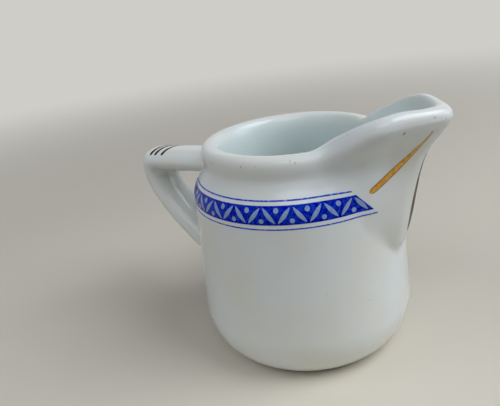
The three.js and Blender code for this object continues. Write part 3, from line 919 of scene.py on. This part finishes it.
def half_section(shape):
    """Half section of the vessel, from the middle of the underside round to the middle of the floor."""
    v = shape.vessel
    ring_inside = v.foot_radius - v.foot_ring_width
    edge = v.foot_edge
    wall_rows = round((v.wall_height - v.corner_height) / ROW)
    shoulder_rows = round(v.shoulder_rise / ROW)
    flare_rows = round(v.rim_flare / ROW)
    heights = steps(v.corner_height, v.wall_height, wall_rows)
    heights += steps(v.wall_height, shape.neck_z, shoulder_rows)
    heights += steps(shape.neck_z, shape.rim_z, flare_rows)
    section = [(0.0, v.foot_recess)]
    section += [(r, v.foot_recess) for r in steps(0, ring_inside - v.foot_recess - edge, UNDERSIDE_STEPS)]
    section += [(ring_inside - v.foot_recess, v.foot_recess - edge / 4)]
    section += [(ring_inside - edge / 2, edge / 2), (ring_inside, edge / 8), (ring_inside + edge / 2, 0.0)]
    section += [(v.foot_radius, 0.0)]
    for t in steps(0, math.pi / 2, CORNER_STEPS):
        across = mix(v.foot_radius, v.belly_radius, math.sin(t))
        section.append((across, v.corner_height * (1 - math.cos(t))))
    section += [(shape.outside_radius(z), z) for z in heights]
    for t in steps(0, math.pi, ROLL_STEPS):
        side = math.copysign(abs(math.cos(t)) ** v.rim_fullness, math.cos(t))
        up = max(math.sin(t), 0) ** v.rim_fullness
        low = 0 if t < math.pi / 2 else v.mouth_roll
        across = v.rim_radius - v.rim_width / 2 * (1 - side)
        section.append((across, shape.rim_z - low + (v.rim_roll + low) * up))
    mouth = shape.rim_z - v.mouth_roll
    section += [(shape.inside_radius(z), z) for z in steps(mouth, v.corner_height, wall_rows)]
    for t in steps(0, math.pi / 2, INNER_CORNER_STEPS):
        across = mix(v.foot_radius - v.wall / 2, v.belly_radius - v.wall, math.cos(t))
        section.append((across, mix(v.corner_height, v.floor, math.sin(t))))
    section += [(r, v.floor) for r in steps(v.foot_radius - v.wall / 2, 0, FLOOR_STEPS)]
    return [Vector((AXIS_X + r, 0, z)) for r, z in section]


def pool_share(shape, radius, z):
    """How much thicker the glaze lies at a point: nothing outside, all of it inside the vessel."""
    if z < shape.vessel.foot_recess + shape.vessel.foot_edge:
        return 0.0
    inset = shape.outside_radius(min(z, shape.rim_z)) - radius
    return smoothstep((inset - shape.vessel.rim_width / 2) / shape.vessel.wall)


class MILKJUG_OT_vessel(Operator):
    """Spin the half section into the vessel and draw the spout out of it"""
    bl_idname = "milkjug.vessel"
    bl_label = "Vessel and spout"

    def execute(self, context):
        jug = context.scene.milk_jug
        shape = JugShape(jug)
        vessel = drawn_line("jug_vessel", half_section(shape))
        spun(COLUMNS, AXIS, VESSEL_SEAM, False)
        pools = vessel.data.attributes.new("glaze_pool", 'FLOAT', 'POINT')
        for i, vertex in enumerate(vessel.data.vertices):
            local = vertex.co - AXIS
            radius = math.hypot(local.x, local.y)
            even = math.atan2(local.y, local.x)
            pools.data[i].value = pool_share(shape, radius, local.z)
            vertex.co = shape.draw_out(even - COLUMN_GATHER * math.sin(even), radius, local.z) + AXIS
        finished(vessel, glazed_porcelain(jug.colours))
        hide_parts("body", "spout", "spout_slip_joint")
        return {'FINISHED'}


class MILKJUG_OT_handle(Operator):
    """Roll a grid into the strap handle, with a fillet of glaze where it meets the wall"""
    bl_idname = "milkjug.handle"
    bl_label = "Handle"

    def execute(self, context):
        jug = context.scene.milk_jug
        shape = JugShape(jug)
        outer, inner = shape.handle_edges()
        last = len(outer) - 1

        def place(u, v):
            station = round(u * last)
            return shape.handle_point(outer[station], inner[station], v * 2 * math.pi, 0)

        handle = laid_grid("jug_handle", last, HANDLE_SIDES, place)
        bpy.ops.object.mode_set(mode='EDIT')
        bpy.ops.mesh.select_all(action='SELECT')
        bpy.ops.mesh.remove_doubles(threshold=HANDLE_SEAM)
        bpy.ops.mesh.select_all(action='DESELECT')
        bpy.ops.mesh.select_non_manifold()
        bpy.ops.mesh.fill_holes(sides=HANDLE_SIDES)
        bpy.ops.mesh.select_all(action='SELECT')
        bpy.ops.mesh.normals_make_consistent(inside=False)
        bpy.ops.object.mode_set(mode='OBJECT')
        bpy.ops.object.shade_smooth()
        finished(handle, bpy.data.materials["glazed_porcelain"])
        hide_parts("handle", "handle_upper_slip_joint", "handle_lower_slip_joint")
        return {'FINISHED'}


class BandPlan:
    """Where the printed band lies on the side of the vessel, seen with the spout to the right."""

    def __init__(self, jug):
        self.sizes = plain(jug.band)
        self.shape = JugShape(jug)
        self.film = jug.gilding.film
        self.middle = (self.sizes.bottom + self.sizes.top) / 2
        self.last_motif = self.sizes.first_motif + (self.sizes.motifs - 1) * self.sizes.motif_turn

    def end(self, z, motif, side):
        """Direction of the band's slanted end at a height, on the side of the spout or of the handle."""
        b = self.sizes
        down = (b.top - z) / (b.top - b.bottom)
        return -motif + side * (b.first_motif - b.end_turn + b.end_slant * down)

    def strip(self, name, low, high, rows, lift):
        """A strip of the band between two heights, cut at its slanted ends."""
        def place(u, v):
            z = mix(low, high, v)
            turn = mix(self.end(z, self.last_motif, -1), self.end(z, self.sizes.first_motif, 1), u)
            return self.shape.on_glaze(turn, z, lift)

        return laid_grid(name, BAND_COLUMNS, rows, place)

    def leaf(self, turn, lean, lift):
        """One pointed leaf that leans along the band."""
        b = self.sizes
        radius = self.shape.outside_radius(self.middle)
        across, up = lean * b.leaf_across, b.leaf_up
        long = math.hypot(across, up)

        def place(u, v):
            along = u - 0.5
            half = b.leaf_width / 2 * math.sin(math.pi * u) ** LEAF_FULLNESS
            side = (v * 2 - 1) * half
            x = along * across + side * up / long
            z = self.middle + along * up - side * across / long
            return self.shape.on_glaze(turn + x / radius, z, lift)

        return laid_grid("leaf", *LEAF_GRID, place)

    def dot(self, turn, height, lift):
        """One round dot."""
        b = self.sizes
        radius = self.shape.outside_radius(height)

        def place(x, y):
            return self.shape.on_glaze(turn + x * b.dot_radius / radius, height + y * b.dot_radius, lift)

        return laid_disc("dot", DOT_SIDES, place)


class MILKJUG_OT_band(Operator):
    """Lay the blue band and its thin lines on both sides of the vessel"""
    bl_idname = "milkjug.band"
    bl_label = "Printed band"

    def execute(self, context):
        jug = context.scene.milk_jug
        plan = BandPlan(jug)
        b = plan.sizes
        depth = FILM_DEPTH * plan.film
        ground = filmed(plan.strip("band_print_near", b.bottom, b.top, BAND_ROWS, plan.film), depth)
        finished(ground, cobalt_print(jug.colours, "cobalt_print", gaps=0.72, thick=0.42))
        finished(mirrored(ground, "band_print_far"), bpy.data.materials["cobalt_print"])
        half = b.line_width / 2
        heights = (b.lower_line, b.upper_line)
        lines = [plan.strip("line", z - half, z + half, LINE_ROWS, plan.film) for z in heights]
        line_pair = filmed(joined("band_lines_near", lines), depth)
        finished(line_pair, cobalt_print(jug.colours, "cobalt_line", gaps=0.57, thick=0.26))
        finished(mirrored(line_pair, "band_lines_far"), bpy.data.materials["cobalt_line"])
        return {'FINISHED'}


class MILKJUG_OT_leaves(Operator):
    """Set the white leaves and dots into the blue band"""
    bl_idname = "milkjug.leaves"
    bl_label = "Leaves and dots"

    def execute(self, context):
        jug = context.scene.milk_jug
        plan = BandPlan(jug)
        b = plan.sizes
        lift = 2 * plan.film
        pieces = []
        for motif in range(b.motifs):
            turn = -(b.first_motif + motif * b.motif_turn)
            pieces.append(plan.leaf(turn + b.motif_turn / 4, -1, lift))
            pieces.append(plan.leaf(turn - b.motif_turn / 4, 1, lift))
            pieces.append(plan.dot(turn, plan.middle - b.dot_lift, lift))
            if motif < b.motifs - 1:
                pieces.append(plan.dot(turn - b.motif_turn / 2, plan.middle + b.dot_lift, lift))
        leaves = filmed(joined("band_leaves_near", pieces), lift)
        finished(leaves, reserved_white(jug.colours))
        finished(mirrored(leaves, "band_leaves_far"), bpy.data.materials["reserved_white"])
        return {'FINISHED'}


def brush_width(u, full, thick_end):
    """Width of a brush stroke along its length: a round thick end, then a long taper to a thin tip."""
    rounded = math.sqrt(1 - (1 - min(u / thick_end, 1)) ** 2)
    taper = 1 - smoothstep((u - TAPER_START) / TAPER_LENGTH) * TAPER
    return full * max(rounded, LEAST_WIDTH) * taper


class MILKJUG_OT_gilding(Operator):
    """Brush the gold strokes on the spout, down its keel and over the handle"""
    bl_idname = "milkjug.gilding"
    bl_label = "Gilding"

    def execute(self, context):
        jug = context.scene.milk_jug
        g = plain(jug.gilding)
        shape = JugShape(jug)
        depth = FILM_DEPTH * g.film
        colours = jug.colours
        bright = fired_gilding(colours, "fired_gilding", colours.gold, colours.gold_pale)
        # keel and handle strokes get a darker gilding: a painted dark reflection, the look of gold seen
        # edge-on as it mirrors dark surroundings
        darkened = fired_gilding(colours, "rubbed_gilding", colours.gold_painted_dark, colours.gold_brown)
        stroke = filmed(self.side_stroke(shape, g), depth)
        finished(stroke, bright)
        finished(mirrored(stroke, "spout_gilding_far"), bright)
        finished(filmed(self.keel_stroke(shape, g), depth), darkened)
        strokes = [self.handle_stroke(shape, g, i) for i in range(HANDLE_STROKES)]
        finished(filmed(joined("handle_gilding", strokes), depth), darkened)
        return {'FINISHED'}

    @staticmethod
    def side_stroke(shape, g):
        start = Vector((-g.stroke_start, g.stroke_start_z))
        bend = Vector((-g.stroke_bend, g.stroke_bend_z))
        end = Vector((-g.stroke_end, g.stroke_end_z))

        def place(u, v):
            here = bezier(start, bend, end, u)
            ahead = bezier(start, bend, end, u + STROKE_STEP) - here
            radius = shape.outside(here.x, here.y).xy.length
            along = Vector((ahead.x * radius, ahead.y)).normalized()
            side = (v - 0.5) * brush_width(u, g.stroke_width, SIDE_THICK_END)
            dome = g.film * (STROKE_EDGE + STROKE_DOME * math.sin(math.pi * v))
            return shape.on_glaze(here.x - along.y * side / radius, here.y + along.x * side, dome)

        return laid_grid("spout_gilding_near", *SIDE_STROKE_GRID, place)

    @staticmethod
    def keel_stroke(shape, g):
        def place(u, v):
            z = mix(g.keel_low, g.keel_high, u)
            radius = shape.keel_reach(z)
            side = (0.5 - v) * brush_width(u, g.keel_width, KEEL_THICK_END)
            return shape.on_glaze(side / radius, z, g.film)

        return laid_grid("keel_gilding", *KEEL_STROKE_GRID, place)

    @staticmethod
    def handle_stroke(shape, g, index):
        outer, inner = shape.handle_edges()
        half_width = shape.handle.width / 2
        first = g.handle_stroke - index * g.handle_pitch * (1 + PITCH_GROWTH * (index - 1))

        def along(reach):
            """Station of the handle whose top lies at a reach from the axis."""
            for i in range(1, len(outer)):
                if outer[i].x >= reach:
                    return i - 1 + (reach - outer[i - 1].x) / (outer[i].x - outer[i - 1].x)
            return len(outer) - 2

        def place(u, v):
            turn = mix(-g.handle_turn, g.handle_turn, u)
            across = half_width * (math.sin(turn) + math.sin(g.handle_turn))
            side = (v - 0.5) * brush_width(u, g.handle_width, HANDLE_THICK_END)
            at = along(first - across * g.handle_slant + side)
            k = min(int(at), len(outer) - 2)
            t = at - k
            top, under = (mix(edge[k], edge[k + 1], t) for edge in (outer, inner))
            return shape.handle_point(top, under, turn, g.film)

        return laid_grid("handle_stroke", *HANDLE_STROKE_GRID, place)


# Kiln flecks on rim and lip: direction from the keel in degrees, height and half width in millimetres
FLECKS = [
    (113.4, 68.4, 0.28), (88.8, 69.3, 0.3), (86.1, 69.1, 0.22), (79.8, 69.4, 0.25), (60.4, 70.4, 0.24),
    (57.8, 69.9, 0.26), (16.5, 75.3, 0.4), (7.1, 78.2, 0.28), (3.5, 77.2, 0.3),
]
FLECK_SEED = 7
FLECK_RAGGED = (0.6, 1.3)   # a fleck's corners lie between these shares of its half width
FLECK_SHARE = 0.8           # makes all flecks a little smaller
FLECK_TALL = 1.5            # height against width


class MILKJUG_OT_flecks(Operator):
    """Drop a few brown kiln flecks on the rim and the lip"""
    bl_idname = "milkjug.flecks"
    bl_label = "Kiln flecks"

    def execute(self, context):
        jug = context.scene.milk_jug
        shape = JugShape(jug)
        chance = random.Random(FLECK_SEED)
        pieces = []
        for degrees, height, half in FLECKS:
            turn = -math.radians(degrees)
            radius = shape.outside(turn, height * MM).xy.length
            uneven = [chance.uniform(*FLECK_RAGGED) for _ in range(FLECK_SIDES)]

            def place(x, y):
                corner = int(math.atan2(y, x) / math.pi * (FLECK_SIDES / 2)) % FLECK_SIDES
                ragged = uneven[corner] * half * FLECK_SHARE * MM
                level = height * MM + y * ragged * FLECK_TALL
                return shape.on_glaze(turn + x * ragged / radius, level, jug.gilding.film / 2)

            pieces.append(laid_disc("fleck", FLECK_SIDES, place))
        flecks = filmed(joined("kiln_flecks", pieces), jug.gilding.film)
        finished(flecks, kiln_fleck(jug.colours))
        return {'FINISHED'}


# Lamps: name, power, metres from the jug to the camera's right, ahead and up, width, seen in the glaze
LAMPS = (
    ("key_softbox", "key_power", 0.42, -0.22, 0.6, 0.5, True),
    ("front_softbox", "front_power", -0.05, -0.45, 0.62, 0.5, True),
    ("fill_softbox", "fill_power", -0.55, -0.1, 0.42, 0.5, False),
    ("side_softbox", "side_power", 0.7, -0.1, 0.3, 0.5, True),
    ("window", "window_power", 0.5, 0.05, 0.52, 0.22, True),
)
LIT_HEIGHT = 0.035          # the lamps point at this height on the axis, in metres
SENSOR_WIDTH = 36           # of the camera, in millimetres
NEAREST_SEEN = 0.01         # of the camera, in metres


class MILKJUG_OT_stage(Operator):
    """Set up the pale sweep, the soft lights and the camera"""
    bl_idname = "milkjug.stage"
    bl_label = "Studio"

    def execute(self, context):
        studio = context.scene.milk_jug.studio
        self.sweep(studio)
        self.sky(context, studio)
        turn = studio.view_turn
        right = Vector((math.sin(turn), -math.cos(turn), 0))
        ahead = Vector((math.cos(turn), math.sin(turn), 0))
        up = Vector((0, 0, 1))
        target = AXIS + up * LIT_HEIGHT
        for name, power, to_right, to_front, rise, size, mirrors in LAMPS:
            place = target + right * to_right + ahead * to_front + up * rise
            lamp = self.softbox(name, place, target, size)
            lamp.data.energy = getattr(studio, power)
            lamp.data.color = studio.lamp
            lamp.visible_glossy = mirrors
        self.camera(context, studio)
        context.scene.view_settings.view_transform = 'Standard'
        return {'FINISHED'}

    @staticmethod
    def sweep(studio):
        """A round floor that curves up into a low wall on all sides."""
        flat, bend, high = 1.0, 0.45, 0.9
        line = [Vector((0, 0, 0)), Vector((flat / 2, 0, 0)), Vector((flat, 0, 0))]
        for t in steps(0, math.pi / 2, SWEEP_BEND_STEPS):
            line.append(Vector((flat + bend * math.sin(t), 0, bend * (1 - math.cos(t)))))
        line.append(Vector((flat + bend, 0, high)))
        floor = drawn_line("studio_sweep", line)
        spun(SWEEP_COLUMNS, (0, 0, 0), SWEEP_SEAM, True)
        floor.data.materials.append(studio_paper(studio))

    @staticmethod
    def sky(context, studio):
        """Soft light from all round."""
        world = bpy.data.worlds.new("soft_sky")
        world.use_nodes = True
        tree = world.node_tree
        tree.nodes.clear()
        light = add_node(tree, "ShaderNodeBackground", inputs={
            "Color": rgba(studio.sky), "Strength": studio.sky_strength})
        add_node(tree, "ShaderNodeOutputWorld", inputs={"Surface": light.outputs["Background"]})
        context.scene.world = world

    @staticmethod
    def softbox(name, place, target, size):
        """A round softbox, turned towards the jug."""
        start_alone()
        bpy.ops.object.light_add(type='AREA', location=place)
        lamp = bpy.context.object
        lamp.name = name
        lamp.data.shape = 'DISK'
        lamp.data.size = size
        lamp.rotation_euler = (target - place).to_track_quat('-Z', 'Y').to_euler()
        return lamp

    @staticmethod
    def camera(context, studio):
        """The camera, turned, dipped and tilted as the settings say."""
        turn, dip, roll = studio.view_turn, studio.view_dip, studio.view_roll
        ahead = Vector((math.cos(turn) * math.cos(dip), math.sin(turn) * math.cos(dip), -math.sin(dip)))
        level = ahead.cross(Vector((0, 0, 1))).normalized()
        upright = level.cross(ahead)
        right = level * math.cos(roll) - upright * math.sin(roll)
        up = level * math.sin(roll) + upright * math.cos(roll)
        start_alone()
        bpy.ops.object.camera_add(location=Vector(studio.eye) + AXIS)
        camera = bpy.context.object
        camera.rotation_euler = Matrix((right, up, -ahead)).transposed().to_euler()
        camera.data.sensor_width = SENSOR_WIDTH
        camera.data.sensor_fit = 'HORIZONTAL'
        camera.data.lens = studio.lens
        camera.data.clip_start = NEAREST_SEEN
        context.scene.camera = camera


class MILKJUG_PT_pieces(Panel):
    """Lists the steps of the jug in the order in which they are made"""
    bl_idname = "MILKJUG_PT_pieces"
    bl_label = "Milk Jug"
    bl_space_type = 'VIEW_3D'
    bl_region_type = 'UI'
    bl_category = "Milk Jug"

    def draw(self, context):
        for step in STEPS:
            self.layout.operator(step.bl_idname)


STEPS = (
    MILKJUG_OT_stage,
    MILKJUG_OT_vessel,
    MILKJUG_OT_handle,
    MILKJUG_OT_band,
    MILKJUG_OT_leaves,
    MILKJUG_OT_gilding,
    MILKJUG_OT_flecks,
)
GROUPS = (
    VesselSizes, SpoutSizes, HandleSizes, BandSizes, GildingSizes, FinishColours, StudioSettings, JugSettings,
)


def register():
    for item in (*GROUPS, *STEPS, MILKJUG_PT_pieces):
        bpy.utils.register_class(item)
    bpy.types.Scene.milk_jug = PointerProperty(type=JugSettings)


def unregister():
    del bpy.types.Scene.milk_jug
    for item in reversed((*GROUPS, *STEPS, MILKJUG_PT_pieces)):
        bpy.utils.unregister_class(item)


def main():
    register()
    bpy.ops.milkjug.stage()
    bpy.ops.milkjug.vessel()
    bpy.ops.milkjug.handle()
    bpy.ops.milkjug.band()
    bpy.ops.milkjug.leaves()
    bpy.ops.milkjug.gilding()
    bpy.ops.milkjug.flecks()


if __name__ == "__main__":
    main()
